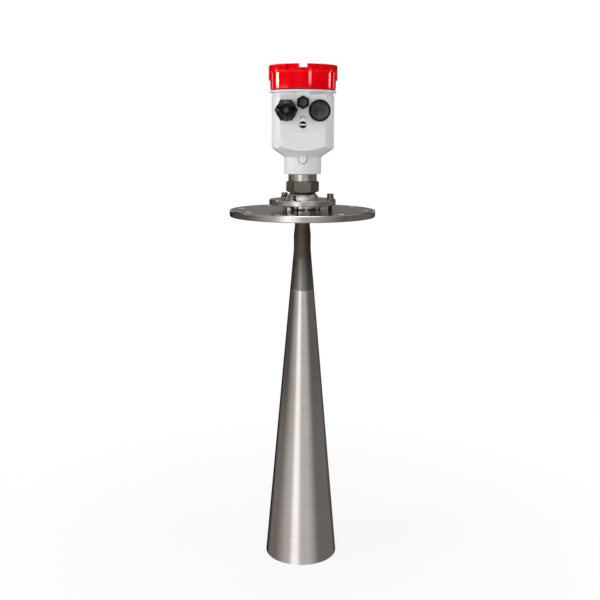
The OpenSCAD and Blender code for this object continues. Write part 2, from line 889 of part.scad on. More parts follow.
module gland_stopper() {
    stem_r = gland_hole_d / 2 - 2;
    head_t = 1.6;
    color("#2a2b2c") at_gland() {
        translate([0, 0, gland_seat]) cylinder(r = stem_r, h = gland_top - gland_seat + cut);
        translate([0, 0, gland_top]) revolve([
            [0, 0, 0],
            [gland_hole_d / 2 - 0.8, 0, 0],
            [gland_hole_d / 2 - 0.8, head_t, 1.2],
            [0, head_t, 0],
        ]);
    }
}

// ---------------------------------------------------------------- blind plug, in the right entry

module at_plug() {
    on_front(entry_x, pad_y, entry_z) children();
}

module blind_plug_gasket() {
    color("#1a1a1a") at_plug() ring(entry_boss_r - 0.4, entry_r + 0.1, 0, gasket_t);
}

module blind_plug() {
    rim_w = 1.6;
    sunk = 0.5;                              // depth of the face inside the rim
    slot_w = 2.2;
    slot_depth = 2.4;
    color("#2b2c2d") at_plug() difference() {
        union() {
            translate([0, 0, -entry_depth]) cylinder(r = entry_r - fit_gap, h = entry_depth + gasket_t + cut);
            translate([0, 0, gasket_t]) revolve([
                [0, 0, 0],
                [plug_d / 2, 0, 0],
                [plug_d / 2, plug_h, 0.8],
                [plug_d / 2 - rim_w, plug_h, 0.4],
                [plug_d / 2 - rim_w, plug_h - sunk, 0],
                [0, plug_h - sunk, 0],
            ]);
        }
        translate([0, 0, gasket_t + plug_h - slot_depth]) rotate([0, 0, 8])
            translate([-plug_d / 4, -slot_w / 2, 0]) cube([plug_d / 2, slot_w, slot_depth + cut]);
        translate([0, 0, -entry_depth - cut]) cylinder(r = entry_r - 3, h = entry_depth - 1 + cut);
    }
}

// ---------------------------------------------------------------- breather

module at_breather() {
    on_front(0, pad_y, breather_z) children();
}

module breather_gasket() {
    color("#1a1a1a") at_breather()
        ring(breather_af / 2 - 0.4, breather_d / 2 + 0.1, 0, breather_gasket_t);
}

module breather() {
    head = 4.6;
    vent_r = 2;
    cross_r = 0.5;                           // radius of the cross hole that lets air out
    color("#232425") at_breather() difference() {
        union() {
            translate([0, 0, -breather_thread])
                cylinder(r = breather_d / 2 - fit_gap, h = breather_thread + breather_gasket_t + cut);
            translate([0, 0, breather_gasket_t]) rotate([0, 0, 30]) hexagon(breather_af, head);
        }
        translate([0, 0, -breather_thread - cut])
            cylinder(r = vent_r, h = breather_thread + cut + breather_gasket_t + 1.5);
        translate([0, 0, -breather_thread - cut]) cylinder(r = vent_r + 1.2, h = 4 + cut);
        translate([0, 0, breather_gasket_t + 0.7]) rotate([0, 90, 0])
            cylinder(r = cross_r, h = 2 * breather_af, center = true);
    }
}

module breather_membrane() {
    color("#e8e8e8") at_breather() translate([0, 0, -3.4]) cylinder(r = 3.1, h = 0.4);
}

// ---------------------------------------------------------------- electronics

module electronics_module() {
    head_sink_r = 3.6;
    color("#2f3336") difference() {
        translate([0, 0, module_z0]) revolve([
            [0, 0, 0],
            [module_d / 2, 0, 1],
            [module_d / 2, module_h, 1.2],
            [0, module_h, 0],
        ]);
        for (side = [-1, 1]) translate([side * module_screw_x, 0, 0]) {
            translate([0, 0, module_z0 - cut])
                cylinder(r = module_screw_r + hole_gap, h = module_h + 2 * cut);
            translate([0, 0, module_z1 - module_sink]) cylinder(r = head_sink_r, h = module_sink + cut);
        }
    }
}

module module_screws() {
    low_z = module_z0 - module_screw_grip;
    head_z = module_z1 - module_sink;
    head = 2.5;
    head_r = 3.2;
    slot = 0.8;
    color("#b9b3ac") for (side = [-1, 1]) translate([side * module_screw_x, 0, 0]) difference() {
        union() {
            translate([0, 0, low_z]) cylinder(r = module_screw_r - fit_gap, h = head_z - low_z + cut);
            translate([0, 0, head_z]) cylinder(r = head_r, h = head);
        }
        translate([-head_r - cut, -slot / 2, head_z + head - slot])
            cube([2 * (head_r + cut), slot, slot + cut]);
    }
}

module circuit_board() {
    half_x = 19;
    half_y = 22;
    color("#1f6b3a") translate([0, 0, module_z1]) linear_extrude(height = board_t) polygon(rounded([
        [-half_x, -half_y, 2],
        [half_x, -half_y, 2],
        [half_x, half_y, 2],
        [-half_x, half_y, 2],
    ]));
}

module terminal_block() {
    low = terminal_h * 0.55;
    wire_w = 3.6;
    color("#5f6b3f") difference() {
        translate([terminal_w / 2, 0, board_z1]) rotate([90, 0, -90])
            linear_extrude(height = terminal_w) polygon(rounded([
                [-terminal_y1, 0, 0],
                [-terminal_y0, 0, 0],
                [-terminal_y0, low, 0.5],
                [-terminal_y0 - 4, terminal_h, 0.8],
                [-terminal_y1, terminal_h, 0.8],
            ]));
        for (i = [0 : terminal_count - 1])
            translate([(i + 0.5) * terminal_pitch - terminal_w / 2, 0, board_z1]) {
                translate([0, terminal_y1 - 5, terminal_floor]) cylinder(r = 2.4, h = terminal_h);
                translate([-wire_w / 2, terminal_y0 - cut, 1.5]) cube([wire_w, 6 + cut, 3]);
            }
    }
}

module terminal_screws() {
    head = 4;
    head_r = 2.2;
    slot = 0.8;
    color("#b9b3ac") for (i = [0 : terminal_count - 1])
        translate([(i + 0.5) * terminal_pitch - terminal_w / 2, terminal_y1 - 5, board_z1 + terminal_floor])
            difference() {
                cylinder(r = head_r, h = head);
                translate([-head_r - cut, -slot / 2, head - slot])
                    cube([2 * (head_r + cut), slot, slot + cut]);
            }
}

// ---------------------------------------------------------------- lid

// Wedge of a tube around the axis, from one angle from the front to another
module sector(inner, outer, z0, z1, from, to) {
    translate([0, 0, z0]) rotate([0, 0, from - 90]) rotate_extrude(angle = to - from)
        translate([inner, 0]) square([outer - inner, z1 - z0]);
}

// Point on the lid at a radius and an angle from the front
function on_lid(radius, angle) = [radius * sin(angle), -radius * cos(angle)];

// Recess beside a fork block: a sloping flank at the block, a radial end at the band
module lid_recess(hand) {
    root = on_lid(flush_r - recess_depth, hand * (recess_from + fork_slope));
    flank = on_lid(flush_r, hand * recess_from);
    z0 = band_z0 + 2;
    translate([0, 0, z0]) linear_extrude(height = band_h) polygon([
        root,
        root + (flank - root) * 3,
        on_lid(band_r + 2 * cut, hand * recess_to),
        on_lid(flush_r - recess_depth, hand * recess_to),
    ]);
}

module lid() {
    ledge_end = recess_from + 1.5;           // angle at which the ledge below a recess starts
    color("#d3000f") difference() {
        union() {
            revolve([
                [0, lid_z0, 0],
                [lid_r - 0.4, lid_z0, 0.6],
                [lid_r, band_z0, 0],
                [band_r, band_z0, 0.8],
                [band_r, lid_z1, 1],
                [band_r - rim_wall, lid_z1, 0.6],
                [band_r - rim_wall, lid_face_z, 0],
                [0, lid_face_z, 0],
            ]);
            for (side = [90, 270])
                sector(lid_r - 2, band_r, band_z0 - lug_drop, band_z0 + cut, side - lug_half, side + lug_half);
        }
        translate([0, 0, lid_z0 - cut])
            cylinder(r = lid_bore_r, h = lid_face_z - lid_top_t - lid_z0 + cut);
        translate([0, 0, lid_z0 - cut])
            cylinder(r = lid_seal_ring_r + lid_seal_r + 0.15, h = 2 * lid_seal_r - lid_gap + ring_play + cut);
        for (side = [0, 180]) rotate([0, 0, side]) {
            sector(flush_r, band_r + cut, band_z0 - cut, lid_z1 + cut, -ledge_end, ledge_end);
            lid_recess(1);
            lid_recess(-1);
        }
        translate([-notch_w / 2, -band_r - cut, lid_face_z])
            cube([notch_w, 2 * (band_r + cut), notch_depth + cut]);
    }
}

module lid_seal() {
    color("#161616") torus(lid_seal_ring_r, lid_seal_r, rim_z1 + lid_seal_r);
}

// ---------------------------------------------------------------- nodes

process_flange();
clamp_plate();
clamp_screws();
clamp_washers();
swivel_seal();
swivel_ball();
hex_adapter();
neck_tube();
neck_seal();
neck_circlip();
waveguide();
rf_module();
rf_connector();
horn_throat();
throat_seal();
feed_cone();
horn_cone();
housing();
stop_pin();
ground_screw();
ground_washer();
gland_body();
gland_gasket();
gland_nut();
gland_seal();
gland_stopper();
blind_plug();
blind_plug_gasket();
breather();
breather_membrane();
breather_gasket();
electronics_module();
module_screws();
circuit_board();
terminal_block();
terminal_screws();
lid();
lid_seal();
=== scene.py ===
# %% [markdown]
# # A radar level transmitter with a horn
#
# This instrument stands on the roof of a tank. A red lid and a grey plastic housing hold the electronics,
# a steel ball in the flange lets the fitter tilt the whole antenna, and a long steel horn guides the radar
# beam down into the tank.
#
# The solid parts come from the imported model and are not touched. This script gives every one of them its
# finish, adds the small worked details that a solid model leaves out, and sets up a little studio.

import json
import math

import bmesh
import bpy
from mathutils import Matrix, Vector

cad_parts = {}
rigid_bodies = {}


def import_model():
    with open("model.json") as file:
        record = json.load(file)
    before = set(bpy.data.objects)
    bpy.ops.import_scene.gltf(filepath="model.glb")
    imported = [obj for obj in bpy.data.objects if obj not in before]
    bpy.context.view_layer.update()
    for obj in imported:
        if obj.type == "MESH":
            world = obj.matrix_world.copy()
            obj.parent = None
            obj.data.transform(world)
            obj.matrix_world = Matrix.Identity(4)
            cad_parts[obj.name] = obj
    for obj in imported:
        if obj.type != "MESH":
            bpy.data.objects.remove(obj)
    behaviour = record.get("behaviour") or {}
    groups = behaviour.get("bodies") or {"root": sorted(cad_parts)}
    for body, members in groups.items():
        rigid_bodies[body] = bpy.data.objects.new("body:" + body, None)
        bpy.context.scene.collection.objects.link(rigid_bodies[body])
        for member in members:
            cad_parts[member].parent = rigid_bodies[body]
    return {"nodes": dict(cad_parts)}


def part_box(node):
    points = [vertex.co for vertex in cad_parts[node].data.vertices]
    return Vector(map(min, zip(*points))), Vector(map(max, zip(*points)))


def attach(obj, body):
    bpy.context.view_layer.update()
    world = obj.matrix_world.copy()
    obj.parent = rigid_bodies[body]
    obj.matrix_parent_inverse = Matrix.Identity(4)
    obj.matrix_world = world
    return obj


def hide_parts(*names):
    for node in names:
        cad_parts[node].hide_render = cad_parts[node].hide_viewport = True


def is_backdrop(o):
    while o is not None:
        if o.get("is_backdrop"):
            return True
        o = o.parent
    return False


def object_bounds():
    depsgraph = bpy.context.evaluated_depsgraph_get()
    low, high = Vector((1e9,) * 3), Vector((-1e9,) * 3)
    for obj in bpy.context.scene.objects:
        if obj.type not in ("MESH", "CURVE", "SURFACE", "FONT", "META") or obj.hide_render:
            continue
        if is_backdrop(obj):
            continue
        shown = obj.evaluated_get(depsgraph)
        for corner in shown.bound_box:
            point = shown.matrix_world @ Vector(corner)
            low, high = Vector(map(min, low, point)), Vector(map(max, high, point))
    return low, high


for start_object in list(bpy.data.objects):
    bpy.data.objects.remove(start_object)
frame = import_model()
cad_low, cad_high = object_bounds()
MM = 0.001
print("solid model from", tuple(round(v, 4) for v in cad_low), "to", tuple(round(v, 4) for v in cad_high))

# %% [markdown]
# ## Arithmetic on surfaces
#
# A procedural finish is arithmetic on the place of each point: how far it is from the axis, how high it is,
# a little noise. Blender does this with nodes. Placing dozens of nodes one by one hides the idea, so `Wire`
# wraps a node's output and lets two outputs be added or multiplied like numbers, and `Look` holds the nodes
# of one material, or of the world, and makes any node in one place.

# %% A wire that can be added and multiplied


class Wire:
    """One output of a node."""

    def __init__(self, look, socket):
        self.look = look
        self.socket = socket

    def maths(self, operation, *others):
        """A Math node with this number first and the others after it."""
        return self.look.maths(operation, self, *others)

    def __add__(self, other):
        return self.maths("ADD", other)

    __radd__ = __add__

    def __sub__(self, other):
        return self.maths("SUBTRACT", other)

    def __rsub__(self, other):
        return self.look.maths("SUBTRACT", other, self)

    def __mul__(self, other):
        return self.maths("MULTIPLY", other)

    __rmul__ = __mul__

    def __truediv__(self, other):
        return self.maths("DIVIDE", other)

    def output(self, name):
        """Another output of the same node."""
        return Wire(self.look, self.socket.node.outputs[name])

    def root(self):
        return self.maths("SQRT")

    def magnitude(self):
        """The number without its sign."""
        return self.maths("ABSOLUTE")

    def over(self, low, high):
        """0 below low, 1 above high and a smooth step between them."""
        ends = {0: self, 1: low, 2: high, 3: 0.0, 4: 1.0}
        return self.look.node("ShaderNodeMapRange", {"interpolation_type": "SMOOTHSTEP"}, ends)


# %% A material that makes its own nodes


class Look:
    """The nodes of one material, or of the world. Its shader's plain numbers are given once."""

    def __init__(self, name, owners=bpy.data.materials, shader="Principled BSDF", **numbers):
        self.owner = owners.new(name)
        self.owner.use_nodes = True
        self.tree = self.owner.node_tree
        self.shader = self.tree.nodes[shader]
        for socket, value in numbers.items():
            self.shader.inputs[socket.replace("_", " ")].default_value = value

    def node(self, kind, settings=None, inputs=None, output=0):
        made = self.tree.nodes.new(kind)
        for name, value in (settings or {}).items():
            setattr(made, name, value)
        for name, value in (inputs or {}).items():
            if isinstance(value, Wire):
                self.tree.links.new(value.socket, made.inputs[name])
            else:
                made.inputs[name].default_value = value
        return Wire(self, made.outputs[output])

    def maths(self, operation, *inputs):
        return self.node("ShaderNodeMath", {"operation": operation}, dict(enumerate(inputs)))

    def place(self):
        return self.node("ShaderNodeTexCoord", output="Object")

    def xyz(self):
        x = self.node("ShaderNodeSeparateXYZ", None, {0: self.place()})
        return x, x.output("Y"), x.output("Z")

    def spot(self, x, y, z):
        return self.node("ShaderNodeCombineXYZ", None, {0: x, 1: y, 2: z})

    def noise(self, at, scale, detail=2.0, roughness=0.5):
        values = {"Vector": at, "Scale": scale, "Detail": detail, "Roughness": roughness}
        return self.node("ShaderNodeTexNoise", None, values)

    def lines(self, along, per_metre, detail=1.0):
        """Irregular parallel lines: noise that changes along one number only."""
        values = {"W": along, "Scale": per_metre, "Detail": detail}
        return self.node("ShaderNodeTexNoise", {"noise_dimensions": "1D"}, values)

    def mixed(self, amount, first, second):
        return self.node("ShaderNodeMix", {"data_type": "RGBA"}, {0: amount, 6: first, 7: second}, output=2)

    def soft_edges(self, radius):
        """The normal of a surface whose edges are rounded by that radius."""
        return self.node("ShaderNodeBevel", {"samples": 6}, {"Radius": radius})

    def relief(self, height, depth, under):
        """Raises the surface by height (0 to 1) times depth, in metres."""
        return self.node("ShaderNodeBump", None, {"Height": height, "Distance": depth, "Normal": under})

    def paint(self, **patterns):
        """Wires patterns to the shader's sockets."""
        for name, wire in patterns.items():
            self.tree.links.new(wire.socket, self.shader.inputs[name.replace("_", " ")])
        return self.owner

    def show(self, surface):
        """Puts another shader in the place of the plain one."""
        self.tree.links.new(surface.socket, self.tree.nodes["Material Output"].inputs["Surface"])
        return self.owner


def colour(code):
    """A colour written as on screen, #rrggbb, as the light values that a shader wants."""
    parts = [int(code[i : i + 2], 16) / 255 for i in (1, 3, 5)]
    return tuple(c / 12.92 if c <= 0.04045 else ((c + 0.055) / 1.055) ** 2.4 for c in parts) + (1.0,)


print("middle grey is", round(colour("#808080")[0], 3))

# %% [markdown]
# ## Stainless steel from the lathe
#
# Flange, clamp plate, neck and throat are turned: the tool leaves one fine spiral, which on a face runs as
# rings round the axis and on a rim as lines round it. One number describes both, the distance from the axis
# plus the height. Noise along that number gives lines of uneven depth, finer ones for the tool's feed and
# coarser ones for its chatter. Large faint clouds stand for handling and for the passive layer of the steel.
#
# The walls of the flange's bolt holes are painted in a bright tone, a painted highlight, and their edges are
# broken.
# Where those holes are is arithmetic too: the turn round the axis is folded into one hole's share of it, and
# what is left is the distance from one hole. The throat is painted darker and browner near the flange, a
# painted shade under the flange, which fades downwards to a paler tone.

# %% Turned steel


def hole_edges(look, x, y, holes, first_turn, circle_r, hole_r):
    """Distance from the wall of the nearest hole of a circle of holes, below 0 inside a hole."""
    pitch = 2 * math.pi / holes
    turn = y.maths("ARCTAN2", x) - math.radians(first_turn)
    folded = turn - (turn / pitch).maths("ROUND") * pitch
    radius = (x * x + y * y).root()
    along = radius * folded.maths("COSINE") - circle_r
    across = radius * folded.maths("SINE")
    return (along * along + across * across).root() - hole_r


NOWHERE = 1.0  # a height that no point reaches


def turned_steel(name, light, dark, shine, depth, edge, duller_above=NOWHERE, holes=None, pale_below=None):
    look = Look(name, Metallic=1.0, Specular_IOR_Level=0.5)
    x, y, z = look.xyz()
    radius = (x * x + y * y).root()
    along = radius + z
    feed = look.lines(along, 2600.0)
    chatter = look.lines(along, 420.0)
    clouds = look.noise(look.place(), 38.0, 3.0)
    specks = look.noise(look.place(), 900.0, 2.0)
    worn = (feed * 0.2 + chatter * 0.1 + clouds * 0.7).over(0.3, 0.7)
    relief = look.relief(feed * 0.7 + chatter * 0.3, depth, look.soft_edges(edge))
    tone = look.mixed(worn, colour(dark), colour(light))
    # Painted shade: darker above, fading to the paler tone below.
    if pale_below:
        lowest, highest, pale = pale_below
        tone = look.mixed(1 - z.over(lowest, highest), tone, colour(pale))
    duller = z.over(duller_above, duller_above + 2 * MM) * 0.22
    roughness = shine + clouds * 0.1 + specks * 0.05 - 0.07 + duller
    if holes:
        from_wall = hole_edges(look, x, y, *holes)
        # Painted highlight: the hole walls get a bright pale tone, and more roughness.
        wall = 1 - from_wall.over(0.1 * MM, 0.4 * MM)
        relief = look.relief(from_wall.over(-0.1 * MM, 0.9 * MM), 0.8 * MM, relief)
        tone = look.mixed(wall, tone, colour("#f4f2ee"))
        roughness = roughness + wall * 0.45
    return look.paint(Base_Color=tone, Roughness=roughness, Normal=relief)


BOLT_HOLES = (8, -10, 80 * MM, 4.5 * MM)  # how many, turn of the first in degrees, circle's and hole's radius
flange_steel = turned_steel(
    "turned_flange_steel", "#b7b3b0", "#a6a19d", 0.16, 1.0e-6, 0.5 * MM, holes=BOLT_HOLES
)
clamp_steel = turned_steel("turned_clamp_steel", "#b9b7b4", "#a8a5a1", 0.17, 1.5e-6, 0.4 * MM)
neck_steel = turned_steel("turned_neck_steel", "#b7b4b0", "#a6a29d", 0.17, 2e-6, 0.3 * MM)
# The hexagon's tone, darker than the other steels, is a painted shade over the whole hexagon.
hexagon_steel = turned_steel("milled_hexagon_steel", "#837d74", "#736d63", 0.42, 3e-6, 0.3 * MM)
# The throat's painted shade under the flange fades out between these two heights.
FLANGE_SHADE_FADES = (-95 * MM, -35 * MM, "#7e7b77")  # where it ends, where it starts, and the tone below it
throat_steel = turned_steel(
    "turned_throat_steel", "#625952", "#564d46", 0.34, 1.5e-6, 0.3 * MM, -55 * MM, pale_below=FLANGE_SHADE_FADES
)
ball_steel = turned_steel("lapped_ball_steel", "#c4c1bd", "#b3afaa", 0.14, 1e-6, 0.3 * MM, 14 * MM)
print("six turned steels, with", BOLT_HOLES[0], "bright holes in the flange")

# %% [markdown]
# ## Brushed sheet
#
# The horn's long cone is rolled from sheet and brushed while it turns, so its scratches run round it and
# have an end. Noise on a stretched grid does that: the grid is fine along the height and coarse round the
# axis. Such lines spread a reflection up and down only, which keeps the bright line on the cone narrow.

# %% Brushed horn sheet


def brushed_sheet(name):
    look = Look(name, Metallic=1.0)
    x, y, z = look.xyz()
    turn = x.maths("ARCTAN2", 0 - y)
    strokes = look.noise(look.spot(turn * 1.6, z * 2600.0, 0.0), 1.0, 2.0)
    long_strokes = look.noise(look.spot(turn * 0.9, z * 260.0, 4.0), 1.0, 2.0)
    clouds = look.noise(look.place(), 22.0, 3.0)
    worn = (strokes * 0.5 + long_strokes * 0.15 + clouds * 0.35).over(0.3, 0.7)
    return look.paint(
        Base_Color=look.mixed(worn, colour("#aca7a4"), colour("#b9b5b2")),
        Roughness=0.12 + strokes * 0.06 + clouds * 0.05,
        Normal=look.relief(strokes * 0.8 + long_strokes * 0.2, 0.7e-6, look.soft_edges(0.2 * MM)),
    )


horn_steel = brushed_sheet("brushed_horn_sheet")
print("brushed sheet:", len(horn_steel.node_tree.nodes), "nodes")

# %% [markdown]
# ## Steel of small parts
#
# Screws, washers and rings are pressed or rolled rather than turned, and tumbled afterwards: no direction,
# only a fine even grain and duller patches. The clamp screws' shanks, in the gap under the plate, are
# painted darker than their heads and rougher: a painted shade of that gap.
#
# The ground screw's head is dark, and a bright band painted across it is a painted highlight. Two masks find
# that
# band: how deep a point lies behind the head's face, and how far it is above or below the middle of the head.

# %% Tumbled steel


def tumbled(name, light, dark, shine, shade_below=-NOWHERE):
    look = Look(name, Metallic=1.0)
    x, y, z = look.xyz()
    # Painted shade: below that height the shank is painted dark and rougher, while the head keeps its tone.
    lit_mask = z.over(shade_below - 1 * MM, shade_below)
    grain = look.noise(look.place(), 1800.0, 2.0)
    patches = look.noise(look.place(), 160.0, 3.0)
    return look.paint(
        Base_Color=look.mixed(patches.over(0.35, 0.65) * lit_mask, colour(dark), colour(light)),
        Roughness=shine + patches * 0.12 + grain * 0.05 + (1 - lit_mask) * 0.3,
        Normal=look.relief(grain, 4e-6, look.soft_edges(0.15 * MM)),
    )


screw_steel = tumbled("tumbled_screw_steel", "#a39d96", "#827c76", 0.1)
clamp_screw_steel = tumbled("tumbled_clamp_screw_steel", "#a39d96", "#5a554f", 0.1, 14.5 * MM)
brass = tumbled("drawn_brass", "#d3b067", "#b99448", 0.2)


def dark_screw_painted_highlight(name, node, slot_depth, slot_half):
    """A dark head with a painted highlight: bright deeper than half the slot and in a band across the head.
    """
    look = Look(name, Metallic=1.0)
    x, y, z = look.xyz()
    low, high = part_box(node)
    deep = (y - low.y).over(slot_depth * 0.4, slot_depth * 0.6)
    off_slot = (z - (low.z + high.z) / 2).magnitude()
    # Painted highlight: the slot's floor and a band across the head get a pale, less metallic tone.
    lit_mask = deep.maths("MAXIMUM", 1 - off_slot.over(slot_half - 0.1 * MM, slot_half + 0.1 * MM))
    grain = look.noise(look.place(), 1500.0, 2.0)
    return look.paint(
        Base_Color=look.mixed(lit_mask, colour("#2e2c2a"), colour("#f4f1ec")),
        Metallic=1 - lit_mask * 0.85,
        Roughness=0.28 + grain * 0.1 + lit_mask * 0.2,
        Normal=look.relief(grain, 4e-6, look.soft_edges(0.25 * MM)),
    )


ground_steel = dark_screw_painted_highlight("dark_ground_screw_painted_highlight", "ground_screw", 1.1 * MM, 0.85 * MM)
print("small parts:", screw_steel.name, clamp_screw_steel.name, brass.name, ground_steel.name)

# %% [markdown]
# ## Glossy red lid
#
# The lid is moulded in a polished tool. What shows on such a surface is not a texture but a very shallow
# waviness, which bends the edges of reflections a little, and hair-thin scratches from handling, which show
# as slightly duller spots. The colour is the plastic's own all through, so it hardly changes.

# %% Red plastic
red = Look("glossy_red_plastic", Specular_IOR_Level=0.5, IOR=1.52)
waves = red.noise(red.place(), 95.0, 1.0)
scuffs = red.noise(red.place(), 700.0, 3.0, 0.6)
red_plastic = red.paint(
    Base_Color=red.mixed(waves.over(0.3, 0.7), colour("#d8000b"), colour("#e3010e")),
    Roughness=0.05 + scuffs.over(0.5, 0.75) * 0.07,
    Normal=red.relief(waves, 14e-6, red.soft_edges(0.8 * MM)),
)
print("lid:", red_plastic.name)

# %% [markdown]
# ## Grey housing plastic
#
# The housing comes out of a spark-eroded tool: a fine pebbled grain that scatters reflections, so that
# highlights on its round edges are soft. The grain is noise at less than half a millimetre. A second, much
# wider noise varies the grain's depth and the tone, as flow does in a large moulding.
#
# Shade is painted dark into the two narrow grooves of the front, round the tab under the shoulder and round
# the arched pocket over the ground screw, and the inside of the arch is painted pale, a painted highlight.
# Both outlines are drawn as the distance from a circle: below its middle the tab is half a circle and above
# it two straight lines, and the arch is a circle pressed together from the sides.

# %% Painted shade in the grooves of the housing
TAB_MIDDLE, TAB_R, SHOULDER = 71.9 * MM, 5.35 * MM, 76 * MM
ARCH_MIDDLE, ARCH_R, ARCH_SQUEEZE = 118.8 * MM, 4.5 * MM, 1.45
FRONT = -20.5 * MM


def groove_lines(look):
    """Two masks: near 1 in the grooves, where shade is painted, and near 1 inside the arch, painted pale as a
    highlight.
    """
    x, y, z = look.xyz()
    in_front = 1 - y.over(FRONT - 0.5 * MM, FRONT + 0.5 * MM)
    wide = x.magnitude()
    below = (z - TAB_MIDDLE).maths("MINIMUM", 0.0)
    tab = (wide * wide + below * below).root() - TAB_R
    under_shoulder = 1 - z.over(SHOULDER - 1 * MM, SHOULDER + 1 * MM)
    tab_line = (1 - tab.magnitude().over(0.3 * MM, 0.8 * MM)) * under_shoulder
    up = z - ARCH_MIDDLE
    arch = (wide * wide * ARCH_SQUEEZE + up * up).root() - ARCH_R
    arch_line = (1 - arch.magnitude().over(0.35 * MM, 0.8 * MM)) * up.over(0.0, 0.8 * MM)
    pale = (1 - arch.over(-0.9 * MM, -0.4 * MM)) * up.over(-2.2 * MM, -1.4 * MM)
    return (tab_line * 0.8 + arch_line) * in_front, pale * in_front


print("groove of the tab", round(2 * TAB_R / MM, 1), "mm wide, arch", round(ARCH_R / MM, 1), "mm high")

# %% Grained plastic


def grained_plastic(name, light, dark, shine, grain_size, depth, edge, grooved=False, mirror=0.5):
    look = Look(name, IOR=1.5, Specular_IOR_Level=mirror)
    grain = look.noise(look.place(), 1 / grain_size, 2.0, 0.6)
    flow = look.noise(look.place(), 28.0, 2.0)
    tone = look.mixed((flow * 0.7 + grain * 0.3).over(0.35, 0.65), colour(dark), colour(light))
    if grooved:
        # Painted shade in the grooves, and a painted highlight inside the arch.
        groove_shade, pale = groove_lines(look)
        tone = look.mixed(pale, tone, colour("#f4f4f6"))
        tone = look.mixed(groove_shade * 0.6, tone, colour("#7c7c7f"))
    return look.paint(
        Base_Color=tone,
        Roughness=shine + grain * 0.08 + flow * 0.05 - 0.06,
        Normal=look.relief(grain, depth, look.soft_edges(edge)),
    )


housing_plastic = grained_plastic(
    "grained_grey_plastic", "#d3d3d6", "#cececf", 0.3, 0.4 * MM, 7e-6, 0.5 * MM, grooved=True
)
gland_plastic = grained_plastic(
    "black_gland_plastic", "#0b0b0d", "#060607", 0.1, 0.3 * MM, 1.5e-6, 0.15 * MM, mirror=0.36
)
module_plastic = grained_plastic("dark_module_plastic", "#34383c", "#2a2d30", 0.42, 0.5 * MM, 12e-6, 0.4 * MM)
terminal_plastic = grained_plastic(
    "green_grey_terminal", "#6d7a55", "#5d6947", 0.38, 0.3 * MM, 6e-6, 0.2 * MM
)
rubber = grained_plastic("black_seal_rubber", "#202020", "#151515", 0.58, 0.15 * MM, 6e-6, 0.1 * MM)
ptfe = grained_plastic("white_window_plastic", "#f2f0ea", "#e6e3db", 0.4, 0.2 * MM, 5e-6, 0.2 * MM)
print("six grained plastics")

# %% [markdown]
# ## Painted sheen on the faces of plug, breather and stopper
#
# The black fittings' faces are painted grey, a painted sheen, while the rounded border round each face stays
# black. The mask is the distance from the fitting's own axis, which the frame's box of that node gives, and
# the grey is stronger towards the lower right, as the light falls, and varies in irregular patches.

# %% Black plastic with a painted sheen


def face_with_painted_sheen(name, node, reach, dull, dark):
    """Black plastic whose face is painted grey, a painted sheen, within reach of the node's own axis, black
    outside it.
    """
    look = Look(name, IOR=1.5, Specular_IOR_Level=0.2)
    x, y, z = look.xyz()
    low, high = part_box(node)
    across = x - (low.x + high.x) / 2
    upwards = z - (low.z + high.z) / 2
    away = (across * across + upwards * upwards).root()
    grain = look.noise(look.place(), 1 / (0.35 * MM), 2.0, 0.6)
    sheen_patches = look.noise(look.place(), 240.0, 3.0)
    inside = 1 - away.over(reach - 0.9 * MM, reach)
    # Painted sheen: grey on the face, stronger towards the lower right, in patches.
    painted_sheen = inside * (0.55 + (across - upwards * 0.8) * (0.3 / reach) + (sheen_patches - 0.5) * 1.2)
    return look.paint(
        Base_Color=look.mixed(painted_sheen, colour(dark), colour(dull)),
        Roughness=0.32 + grain * 0.1 + inside * 0.12,
        Normal=look.relief(grain, 8e-6, look.soft_edges(0.35 * MM)),
    )


plug_face = face_with_painted_sheen("plug_face_painted_sheen", "blind_plug", 11.0 * MM, "#4c4c4e", "#040405")
breather_face = face_with_painted_sheen("breather_face_painted_sheen", "breather", 5.0 * MM, "#4a4a4b", "#060607")
stopper_face = face_with_painted_sheen("stopper_face_painted_sheen", "gland_stopper", 3.4 * MM, "#48484b", "#08080a")
print("rubbed faces:", plug_face.name, breather_face.name, stopper_face.name)

# %% [markdown]
# ## Circuit board
#
# A board is green lacquer over copper: the copper tracks stand up a little and shine through a lighter
# green. A brick pattern, thresholded, is enough to read as tracks through the gap under a lifted lid.

# %% Lacquered board
board = Look("lacquered_board", Specular_IOR_Level=0.5)
tracks = board.node(
    "ShaderNodeTexBrick",
    {"offset": 0.5, "squash": 0.6},
    {"Vector": board.place(), "Scale": 190.0, "Mortar Size": 0.09, "Mortar Smooth": 0.1},
    output="Fac",
)
board_lacquer = board.paint(
    Base_Color=board.mixed(tracks, colour("#1d5a35"), colour("#3f8a55")),
    Roughness=0.25 + board.noise(board.place(), 500.0) * 0.15,
    Normal=board.relief(tracks, 30e-6, board.soft_edges(0.1 * MM)),
)
print("board:", board_lacquer.name)

# %% [markdown]
# ## Finishes on the solid parts
#
# Each solid keeps its shape and gets its finish through its material slots.

